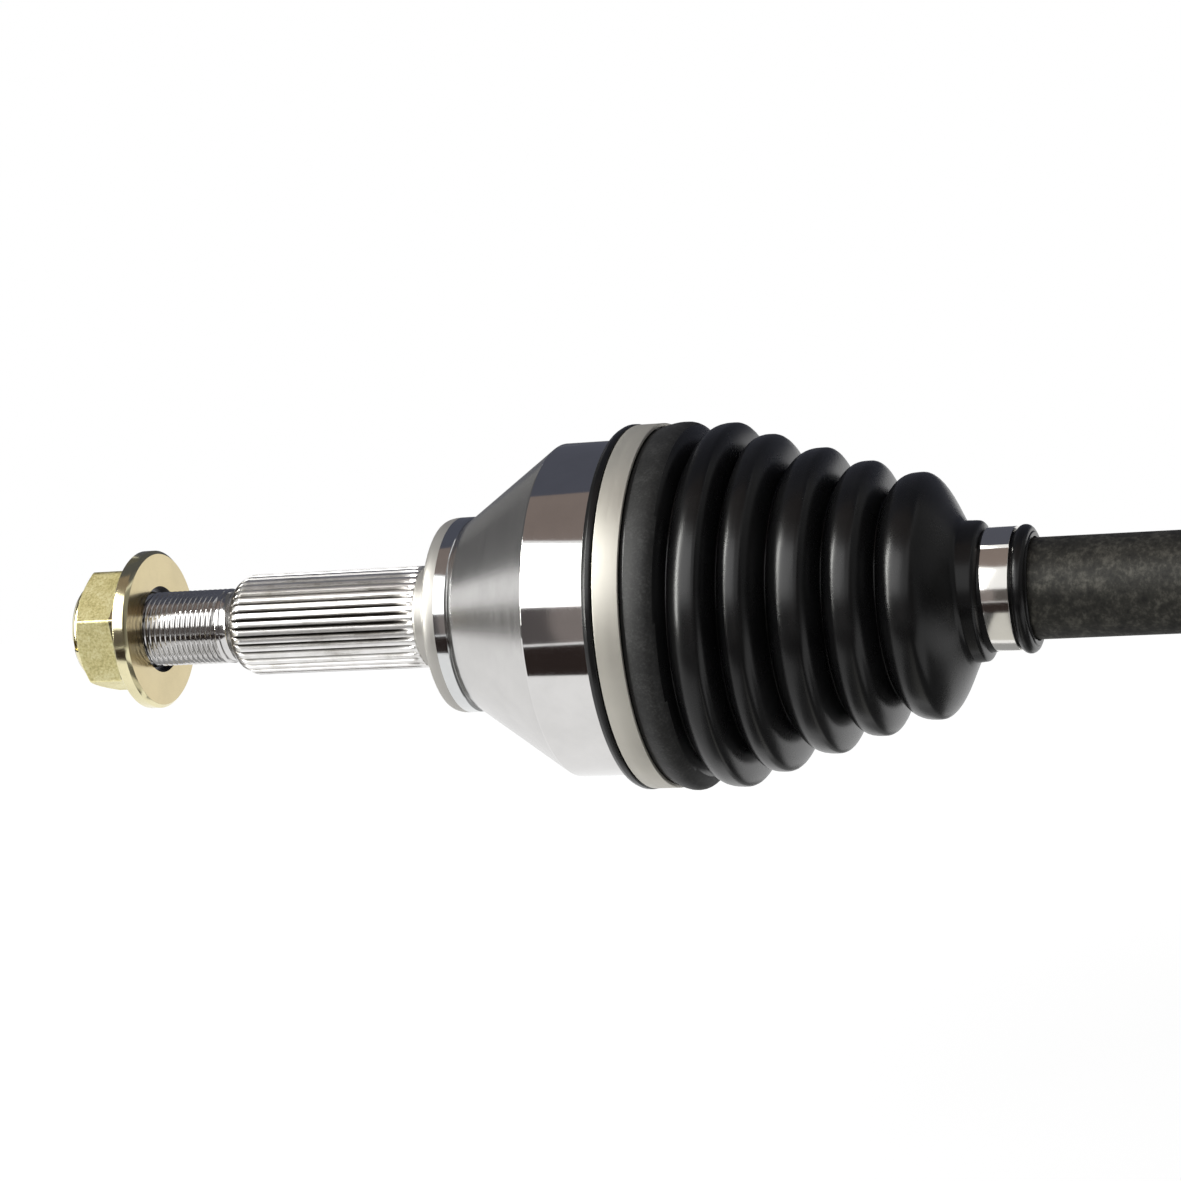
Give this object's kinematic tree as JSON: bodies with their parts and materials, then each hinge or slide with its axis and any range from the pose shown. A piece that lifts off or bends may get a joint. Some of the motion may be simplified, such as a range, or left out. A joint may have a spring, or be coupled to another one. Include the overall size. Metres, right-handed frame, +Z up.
{
  "type": "cv axle",
  "caption": "Front drive axle with a ball joint at each end under folded rubber boots, a splined wheel stub with a flange nut, and a splined gearbox stub.",
  "frame": {"origin": "on the bar's axis, halfway between the centres of the two joints", "axes": "+X along the bar from the wheel to the gearbox, +Z up"},
  "size_m": [0.6757, 0.0972, 0.0948],
  "materials": {
    "steel": "turned",
    "bearing_steel": "polished",
    "spring_steel": "dark",
    "bar_steel": "dark, mottled",
    "gold_zinc": "gold zinc plate",
    "band_steel": "bright",
    "boot_rubber": "matte"
  },
  "bodies": {
    "shaft": {"axle_bar": "bar_steel", "outer_race": "bearing_steel", "outer_circlip": "spring_steel", "outer_stop_ring": "spring_steel", "inner_race": "bearing_steel", "inner_circlip": "spring_steel", "inner_stop_ring": "spring_steel", "outer_boot_small_clamp": "band_steel", "inner_boot_small_clamp": "band_steel"},
    "outer_boot": {"outer_boot": "boot_rubber"},
    "outer_housing": {"outer_housing": "steel", "outer_boot_large_clamp": "band_steel"},
    "outer_cage": {"outer_cage": "bearing_steel", "outer_ball_1": "bearing_steel", "outer_ball_2": "bearing_steel", "outer_ball_3": "bearing_steel", "outer_ball_4": "bearing_steel", "outer_ball_5": "bearing_steel", "outer_ball_6": "bearing_steel"},
    "axle_nut": {"axle_nut": "gold_zinc"},
    "inner_boot": {"inner_boot": "boot_rubber"},
    "inner_cage": {"inner_cage": "bearing_steel", "inner_ball_1": "bearing_steel", "inner_ball_2": "bearing_steel", "inner_ball_3": "bearing_steel", "inner_ball_4": "bearing_steel", "inner_ball_5": "bearing_steel", "inner_ball_6": "bearing_steel"},
    "inner_housing": {"inner_housing": "steel", "inner_boot_large_clamp": "band_steel", "inner_retaining_ring": "spring_steel", "gearbox_circlip": "spring_steel"}
  },
  "joints": [
    {"name": "outer_bump", "type": "hinge", "parent": "shaft", "child": "outer_boot", "pos_m": [-0.2, 0, 0], "axis": [0, 1, 0], "range_deg": [-8, 8], "deforming": ["outer_boot"]},
    {"name": "outer_steer", "type": "hinge", "parent": "outer_boot", "child": "outer_housing", "pos_m": [-0.2, 0, 0], "axis": [0, 0, 1], "range_deg": [-45, 45], "deforming": ["outer_boot"]},
    {"name": "outer_cage_tilt", "type": "hinge", "parent": "outer_boot", "child": "outer_cage", "pos_m": [-0.2, 0, 0], "axis": [0, 0, 1], "range_deg": [-22.5, 22.5]},
    {"name": "nut_turn", "type": "hinge", "parent": "outer_housing", "child": "axle_nut", "pos_m": [-0.34, 0, 0], "axis": [1, 0, 0], "continuous": true},
    {"name": "inner_sweep", "type": "hinge", "parent": "shaft", "child": "inner_boot", "pos_m": [0.2, 0, 0], "axis": [0, 0, 1], "range_deg": [-6, 6], "deforming": ["inner_boot"]},
    {"name": "inner_bump", "type": "hinge", "parent": "inner_boot", "child": "inner_cage", "pos_m": [0.2, 0, 0], "axis": [0, 1, 0], "range_deg": [-17, 17], "deforming": ["inner_boot"]},
    {"name": "inner_plunge", "type": "slide", "parent": "inner_cage", "child": "inner_housing", "axis": [1, 0, 0], "range_m": [-0.015, 0.015], "deforming": ["inner_boot"]}
  ],
  "couplings": [
    {"joint": "outer_cage_tilt", "follows": "outer_steer", "ratio": 0.5}
  ]
}
